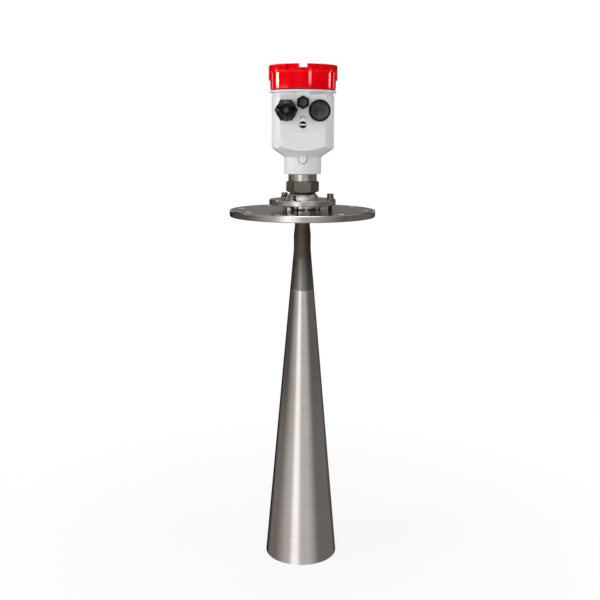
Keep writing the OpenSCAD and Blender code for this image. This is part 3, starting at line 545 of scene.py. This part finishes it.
# %% Give every solid its finish
finishes = {
    "process_flange": flange_steel,
    "clamp_plate": clamp_steel,
    "clamp_screws": screw_steel,
    "clamp_washers": screw_steel,
    "swivel_seal": ptfe,
    "swivel_ball": ball_steel,
    "hex_adapter": hexagon_steel,
    "neck_tube": neck_steel,
    "neck_seal": rubber,
    "neck_circlip": screw_steel,
    "waveguide": brass,
    "rf_module": module_plastic,
    "rf_connector": brass,
    "horn_throat": throat_steel,
    "throat_seal": rubber,
    "feed_cone": ptfe,
    "horn_cone": horn_steel,
    "housing": housing_plastic,
    "stop_pin": screw_steel,
    "ground_screw": ground_steel,
    "ground_washer": screw_steel,
    "gland_body": gland_plastic,
    "gland_gasket": rubber,
    "gland_nut": gland_plastic,
    "gland_seal": rubber,
    "gland_stopper": stopper_face,
    "blind_plug": plug_face,
    "blind_plug_gasket": rubber,
    "breather": breather_face,
    "breather_membrane": ptfe,
    "breather_gasket": rubber,
    "electronics_module": module_plastic,
    "module_screws": screw_steel,
    "circuit_board": board_lacquer,
    "terminal_block": terminal_plastic,
    "terminal_screws": screw_steel,
    "lid": red_plastic,
    "lid_seal": rubber,
}
for node, finish in finishes.items():
    for slot in frame["nodes"][node].material_slots:
        slot.material = finish
print(len(finishes), "solids finished, left out:", sorted(set(frame["nodes"]) - set(finishes)))

# %% [markdown]
# ## Shapes on the lathe, in Blender
#
# Most small details here are round. `lathe` turns an outline of (radius, height) points in millimetres
# round the vertical axis with the spin operator, and `kept` turns a finished shape into a piece of the
# model: in metres, smooth except at real edges, and riding on the body that carries it.

# %% Spin, and keep what was made


def lathe(outline, steps=96):
    shape = bmesh.new()
    points = [shape.verts.new((radius, 0, height)) for radius, height in outline]
    edges = [shape.edges.new(pair) for pair in zip(points, points[1:])]
    once_round = {"cent": (0, 0, 0), "axis": (0, 0, 1), "angle": 2 * math.pi, "steps": steps}
    bmesh.ops.spin(shape, geom=points + edges, use_merge=True, **once_round)
    bmesh.ops.remove_doubles(shape, verts=shape.verts, dist=1e-5)
    bmesh.ops.recalc_face_normals(shape, faces=shape.faces)
    return shape


def kept(name, shape, finish, body, stands_for=(), move=(0, 0, 0), sharp=35):
    bmesh.ops.scale(shape, vec=(MM, MM, MM), verts=shape.verts)
    bmesh.ops.translate(shape, vec=move, verts=shape.verts)
    for face in shape.faces:
        face.smooth = True
    for edge in shape.edges:
        edge.smooth = edge.calc_face_angle(0) < math.radians(sharp)
    mesh = bpy.data.meshes.new(name)
    shape.to_mesh(mesh)
    shape.free()
    mesh.materials.append(finish)
    piece = bpy.data.objects.new(name, mesh)
    bpy.context.collection.objects.link(piece)
    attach(piece, body)
    if stands_for:
        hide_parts(*stands_for)
    print(name, len(mesh.polygons), "faces")
    return piece


def solids_of(node):
    """The lowest and highest corner of each separate solid of a node."""
    shape = bmesh.new()
    shape.from_mesh(frame["nodes"][node].data)
    bmesh.ops.remove_doubles(shape, verts=shape.verts, dist=1e-6)
    left, boxes = set(shape.verts), []
    while left:
        group, front = set(), [left.pop()]
        while front:
            vert = front.pop()
            group.add(vert)
            for edge in vert.link_edges:
                other = edge.other_vert(vert)
                if other in left:
                    left.remove(other)
                    front.append(other)
        corners = [Vector(pick(v.co[i] for v in group) for i in range(3)) for pick in (min, max)]
        boxes.append(tuple(corners))
    shape.free()
    return boxes


# %% [markdown]
# ## Clamp screws
#
# Three socket head screws press the clamp plate onto the ball. Their heads are knurled so that fingers can
# run them in, the rim is rounded, and the thread shows in the gap between plate and flange. The knurl is
# made by drawing every second line of the turned head inwards, the socket by pulling a round pocket out to
# a hexagon, and the thread is a small ridge that the spin operator carries upwards while it turns.

# %% Knurled socket head screws
KNURL_STEPS, KNURL_DEPTH, SOCKET_R = 96, 0.1, 2.85


def wind(shape, ridge, pitch, turns, around):
    """Carries the outline of a ridge up round the axis, as a thread runs."""
    points = [shape.verts.new((radius, 0, height)) for radius, height in ridge]
    edges = [shape.edges.new(pair) for pair in zip(points, points[1:])]
    bmesh.ops.spin(
        shape,
        geom=points + edges,
        cent=(0, 0, 0),
        axis=(0, 0, 1),
        dvec=(0, 0, pitch / around),
        angle=2 * math.pi * turns,
        steps=around * turns,
        use_merge=False,
    )


def thread(shape, radius, low, high, pitch=1.0, depth=0.06):
    """Adds the thread that shows on a shank between two heights."""
    ridge = [(radius - 0.02, low), (radius + depth, low + pitch * 0.3), (radius - 0.02, low + pitch * 0.6)]
    wind(shape, ridge, pitch, int((high - low) / pitch), 24)


def socket_screw(low, high, head_low, head_r, shank_r, socket_r, gap):
    head = high - head_low
    shape = lathe(
        [
            (0, head_low + head * 0.45),
            (socket_r, head_low + head * 0.5),
            (socket_r, high - 0.15),
            (socket_r + 0.2, high),
            (head_r - 0.9, high),
            (head_r - 0.45, high - 0.12),
            (head_r - 0.13, high - 0.45),
            (head_r, high - 0.9),
            (head_r, head_low + 0.5),
            (head_r - 0.1, head_low + 0.15),
            (head_r - 0.25, head_low),
            (shank_r, head_low),
            (shank_r, low + 0.6),
            (shank_r - 0.6, low),
            (0, low),
        ],
        KNURL_STEPS,
    )
    for vert in shape.verts:
        x, y, z = vert.co
        radius, turn = math.hypot(x, y), math.atan2(y, x)
        line = round(turn / (2 * math.pi) * KNURL_STEPS)
        if radius > head_r - 0.01 and line % 2:
            drawn_in = 1 - KNURL_DEPTH / head_r
            bmesh.ops.scale(shape, vec=(drawn_in, drawn_in, 1), verts=[vert])
        if abs(radius - socket_r) < 0.3 and z > head_low + 0.1:
            flat = math.cos(math.radians(30)) / math.cos((turn % math.radians(60)) - math.radians(30))
            bmesh.ops.scale(shape, vec=(flat, flat, 1), verts=[vert])
    thread(shape, shank_r, *gap)
    return shape


seat = max(high.z for low, high in solids_of("clamp_washers")) / MM
shank_seen = (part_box("process_flange")[1].z / MM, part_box("clamp_plate")[0].z / MM)
for number, (low, high) in enumerate(sorted(solids_of("clamp_screws"), key=lambda b: b[0].x), 1):
    centre = (low + high) / 2
    head_r = (high.x - low.x) / 2 / MM
    screw = socket_screw(low.z / MM, high.z / MM, seat, head_r, head_r * 0.6, SOCKET_R, shank_seen)
    stands_for = ("clamp_screws",) if number == 1 else ()
    place = (centre.x, centre.y, 0)
    kept(f"clamp_screw_{number}", screw, clamp_screw_steel, "flange", stands_for, place)

# %% [markdown]
# ## Thread of the housing's collar
#
# Under the lid the housing ends in a collar with a coarse trapezoid thread. It only shows when the lid is
# off, but then it is the first thing one sees. It is the same rising ridge as on the screws, wider and
# flatter, and it stays within the clearance between collar and lid.

# %% Collar thread
COLLAR_R, THREAD_BELOW_TOP, THREAD_PITCH, THREAD_TURNS = 36.7, 11.0, 3.0, 3
collar_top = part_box("housing")[1].z / MM


def collar_thread():
    shape = bmesh.new()
    low = collar_top - THREAD_BELOW_TOP
    foot, crest = COLLAR_R - 0.05, COLLAR_R + 0.24
    ridge = [(foot, low), (crest, low + 0.5), (crest, low + 1.3), (foot, low + 1.8)]
    wind(shape, ridge, THREAD_PITCH, THREAD_TURNS, 96)
    bmesh.ops.recalc_face_normals(shape, faces=shape.faces)
    return shape


kept("collar_thread", collar_thread(), housing_plastic, "head")

# %% [markdown]
# ## Welds of the horn
#
# The sheet is rolled to a cone and welded along one line, and the cone is welded to the turned throat. Both
# seams are ground nearly flat and only show as a slightly proud strip. Each is a small rounded outline: the
# joint is spun once round, and the long seam is extruded up the back in many short steps, one a little out
# and the next a little in, which leaves the faint ripples of a weld.

# %% Weld seam and joint
horn_low, horn_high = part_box("horn_cone")
mouth_r, mouth_z, joint_z = horn_high.x / MM, horn_low.z / MM, horn_high.z / MM
throat_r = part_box("horn_throat")[1].x / MM
slope = (mouth_r - throat_r) / (joint_z - mouth_z)


def cone_r(height):
    """Outer radius of the sheet cone at a height, in millimetres."""
    return mouth_r - slope * (height - mouth_z)


half_way = (mouth_z + joint_z) / 2
print("cone radius at the joint", round(cone_r(joint_z), 2), "and half way", round(cone_r(half_way), 2))


def horn_joint():
    """Rounded ring over the seam between throat and sheet."""
    half, proud, sunk = 0.9, 0.16, 0.04
    outline = []
    for up in (-half, -0.5, 0, 0.5, half):
        bulge = proud * (1 - (up / half) ** 2) - sunk
        outline.append((cone_r(joint_z + up) + bulge, joint_z + up))
    return lathe(outline, 128)


def long_seam():
    """A strip up the back of the cone, in fine ripples."""
    shape = bmesh.new()
    half, steps, ripple = 1.1, 180, 0.04
    low_z, high_z = mouth_z + 2, joint_z - 1.2
    foot = [
        shape.verts.new((side * half, math.sqrt(cone_r(low_z) ** 2 - (side * half) ** 2) - sunk, low_z))
        for side, sunk in ((-1, 0.05), (-0.5, -0.08), (0, -0.12), (0.5, -0.08), (1, 0.05))
    ]
    for pair in zip(foot, foot[1:]):
        shape.edges.new(pair)
    step = (high_z - low_z) / steps
    edges = list(shape.edges)
    for number in range(steps):
        made = bmesh.ops.extrude_edge_only(shape, edges=edges)["geom"]
        verts = [item for item in made if isinstance(item, bmesh.types.BMVert)]
        edges = [item for item in made if isinstance(item, bmesh.types.BMEdge)]
        backwards = (ripple if number % 2 else -ripple) - slope * step
        bmesh.ops.translate(shape, vec=(0, backwards, step), verts=verts)
    shape.normal_update()
    inside_out = [face for face in shape.faces if face.normal.y < 0]
    bmesh.ops.reverse_faces(shape, faces=inside_out)
    return shape


kept("horn_joint", horn_joint(), horn_steel, "antenna")
kept("horn_long_seam", long_seam(), horn_steel, "antenna")

# %% [markdown]
# ## The studio
#
# The instrument stands free on white. The floor is a plain pale plane that catches its shadow, and for rays
# that come straight from the camera it glows white, fully so from a little way off. The world does the same
# and is dimmer for the light that falls on rough surfaces, so that pale plastic doesn't turn to plain white.

# %% Floor


def stage_piece(name, shape, paint):
    mesh = bpy.data.meshes.new(name)
    shape.to_mesh(mesh)
    shape.free()
    mesh.materials.append(paint)
    piece = bpy.data.objects.new(name, mesh)
    bpy.context.collection.objects.link(piece)
    piece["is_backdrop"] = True
    return piece


def seen_directly(look):
    """1 for camera, mirror and glass rays, 0 for the light that reaches rough surfaces."""
    path = look.node("ShaderNodeLightPath", output="Is Camera Ray")
    counted = path + path.output("Is Glossy Ray") + path.output("Is Transmission Ray")
    return counted.maths("MINIMUM", 1.0)


PALE, WHITE = (0.86, 0.86, 0.86, 1), (1, 1, 1, 1)
FLOOR_GAP = 0.3 * MM
floor_look = Look("pale_floor", Base_Color=PALE, Roughness=0.9)
floor_x, floor_y = floor_look.xyz()[:2]
far_off = (floor_x * floor_x + floor_y * floor_y).root().over(0.1, 0.6)
glowing = seen_directly(floor_look) * (0.86 + far_off * 0.14)
glow = floor_look.node("ShaderNodeEmission", None, {"Color": WHITE, "Strength": 1.0})
plain = Wire(floor_look, floor_look.shader.outputs["BSDF"])
floor_paint = floor_look.show(floor_look.node("ShaderNodeMixShader", None, {0: glowing, 1: plain, 2: glow}))
floor_shape = bmesh.new()
bmesh.ops.create_grid(floor_shape, x_segments=2, y_segments=2, size=12)
bmesh.ops.translate(floor_shape, vec=(0, 0, cad_low.z - FLOOR_GAP), verts=floor_shape.verts)
floor = stage_piece("floor", floor_shape, floor_paint)
floor.visible_glossy = False
print("floor at", round(cad_low.z - FLOOR_GAP, 4))

# %% White world
AMBIENT = 0.4
room = Look("white_room", bpy.data.worlds, "Background", Color=WHITE)
bpy.context.scene.world = room.paint(Strength=AMBIENT + seen_directly(room) * (1 - AMBIENT))
print("ambient light", AMBIENT)

# %% [markdown]
# ## A curtain for the reflections
#
# Bright metal shows what surrounds it rather than its own colour, so a studio hangs grey and black cloth
# round it and leaves gaps for the lamps. The curtain below does that: a closed drum round the instrument that
# only mirror rays see. Where something hangs on it is given by the turn in degrees, 0 in front and positive
# to the right, and by a band of heights in metres.
#
# The cloth is bright in front and dark at the sides, with darker parts in the bands that the flange's rim and
# the hexagon mirror. Narrow lamps at the lid's height draw the upright highlights on the red band, and the
# lid of the drum is a soft light from above.

# %% Curtain that only reflections see


def window(number, middle, half_width, soft):
    """1 inside a band around middle, 0 outside, with soft borders."""
    return 1 - (number - middle).magnitude().over(half_width - soft, half_width + soft)


def curtain():
    look = Look("reflection_curtain")
    x, y, z = look.xyz()
    turn = x.maths("ARCTAN2", 0 - y) * (180 / math.pi)
    side, right, left = turn.magnitude(), turn, 0 - turn
    low_down = 1 - z.over(-0.45, -0.25)
    at_rim = (1 - z.over(-0.042, -0.036)) * z.over(-0.08, -0.06)
    at_hexagon = (1 - z.over(0.008, 0.018)) * z.over(-0.02, -0.01)
    high_up = z.over(0.06, 0.09)
    at_lid = z.over(0.17, 0.178) * (1 - z.over(0.213, 0.2165))
    at_gland = z.over(0.06, 0.08) * (1 - z.over(0.165, 0.175))
    cloth = 0.95 - right.over(22.0, 62.0) * 0.72 - left.over(28.0, 95.0) * 0.8
    cloth = cloth - side.over(115.0, 145.0) * 0.13
    cloth = cloth - right.over(2.0, 16.0) * (1 - right.over(30.0, 60.0)) * 0.45 * at_rim
    cloth = cloth - window(turn, 0.0, 12.0, 5.0) * 0.8 * at_hexagon
    beside = side.over(30.0, 60.0) * (0.15 - right.over(20.0, 60.0) * 0.09)
    beside = beside * low_down * (1 - side.over(120.0, 145.0))
    flanks = window(side, 121.0, 12.0, 5.0) * 0.22 * at_hexagon
    key = window(turn, -19.0, 12.0, 8.0) * 1.2 + window(turn, -21.0, 6.0, 5.0) * 0.7 * at_rim
    front = (cloth + beside + key + flanks) * (1 - high_up * 0.97)
    lamps = window(turn, -97.0, 6.5, 1.5) * 21.0 + window(turn, 103.0, 4.5, 1.5) * 8.0
    lamps = lamps + window(turn, 23.0, 4.0, 2.0) * 8.0 + window(side, 131.0, 3.0, 2.0) * 1.6
    panes = window(turn, -80.0, 26.0, 6.0) * 2.2 + window(side, 148.0, 14.0, 6.0) * 0.7
    behind = (left.over(140.0, 165.0) * 0.22 + right.over(140.0, 165.0) * 0.14) * z.over(-0.03, 0.02)
    above = z.over(0.35, 0.5) * (1.5 + key - right.over(10.0, 60.0) * 0.9 - left.over(35.0, 80.0) * 0.9)
    above = above + z.over(1.1, 1.19) * (1 - (x * x + y * y).root().over(0.3, 0.5)) * 2.5
    light = front + lamps * at_lid + panes * at_gland + behind + above
    tint = look.mixed(side.over(30.0, 80.0), (1.0, 0.99, 0.98, 1), (1.0, 0.94, 0.88, 1))
    glow = look.node("ShaderNodeEmission", None, {"Color": tint, "Strength": light})
    shape = bmesh.new()
    bmesh.ops.create_cone(shape, segments=192, radius1=0.6, radius2=0.6, depth=2.6, cap_ends=True)
    bmesh.ops.translate(shape, vec=(0, 0, -0.1), verts=shape.verts)
    piece = stage_piece("reflection_curtain", shape, look.show(glow))
    piece.visible_camera = False
    piece.visible_diffuse = False
    piece.visible_transmission = False
    piece.visible_shadow = False
    piece.visible_volume_scatter = False
    return piece


print("curtain:", curtain().name)

# %% [markdown]
# ## Lamps
#
# Four large soft boxes light the rough surfaces: a key on the left, a weaker one on the right and one in
# front, which keep the panel even, and one behind for the edges and the back. They are hidden from mirror
# rays, because the curtain already gives the metal all that it shows.

# %% Lamps


def lamp(name, place, aim, size, power):
    data = bpy.data.lights.new(name, "AREA")
    data.shape = "RECTANGLE"
    data.size, data.size_y = size
    data.energy = power
    light = bpy.data.objects.new(name, data)
    light.location = place
    light.rotation_euler = (Vector(aim) - Vector(place)).to_track_quat("-Z", "Y").to_euler()
    bpy.context.collection.objects.link(light)
    light.visible_glossy = False
    print(name, power, "W")


lamp("key_softbox", (-1.9, -0.8, 0.5), (0, 0, 0.05), (1.2, 1.2), 26)
lamp("front_softbox", (-0.2, -2.0, 0.1), (0, 0, 0.05), (1.4, 1.0), 12)
lamp("fill_softbox", (1.9, -0.7, 0.3), (0, 0, 0.05), (1.2, 1.4), 12)
lamp("back_softbox", (0.2, 1.8, 1.2), (0, 0, 0.05), (1.6, 1.0), 9)

# %% [markdown]
# ## Camera
#
# The lens stands level with the middle of the housing and a little over a metre away, tipped down by eleven
# degrees, so that the flange shows its top and the horn runs away downwards. It is turned a hair about its
# own axis.

# %% Camera
TIPPED_DOWN, TURNED = 11, 0.25  # degrees
camera_data = bpy.data.cameras.new("camera")
camera_data.sensor_width = 36
camera_data.lens = 51
camera_data.clip_start, camera_data.clip_end = 0.02, 100
camera = bpy.data.objects.new("camera", camera_data)
bpy.context.collection.objects.link(camera)
camera.location = (-0.0026, -1.085, 0.1015)
tilt, roll = math.radians(90 - TIPPED_DOWN), math.radians(TURNED)
camera.rotation_euler = (Matrix.Rotation(tilt, 4, "X") @ Matrix.Rotation(roll, 4, "Z")).to_euler()
bpy.context.scene.camera = camera
bpy.context.scene.view_settings.view_transform = "Standard"
print("camera at", tuple(camera.location))

# %% [markdown]
# ## Size
#
# The dressed model has to keep the solid model's size, so both boxes are written down side by side.

# %% Write both boxes and finish
low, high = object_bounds()
print("dressed model from", tuple(round(v, 4) for v in low), "to", tuple(round(v, 4) for v in high))
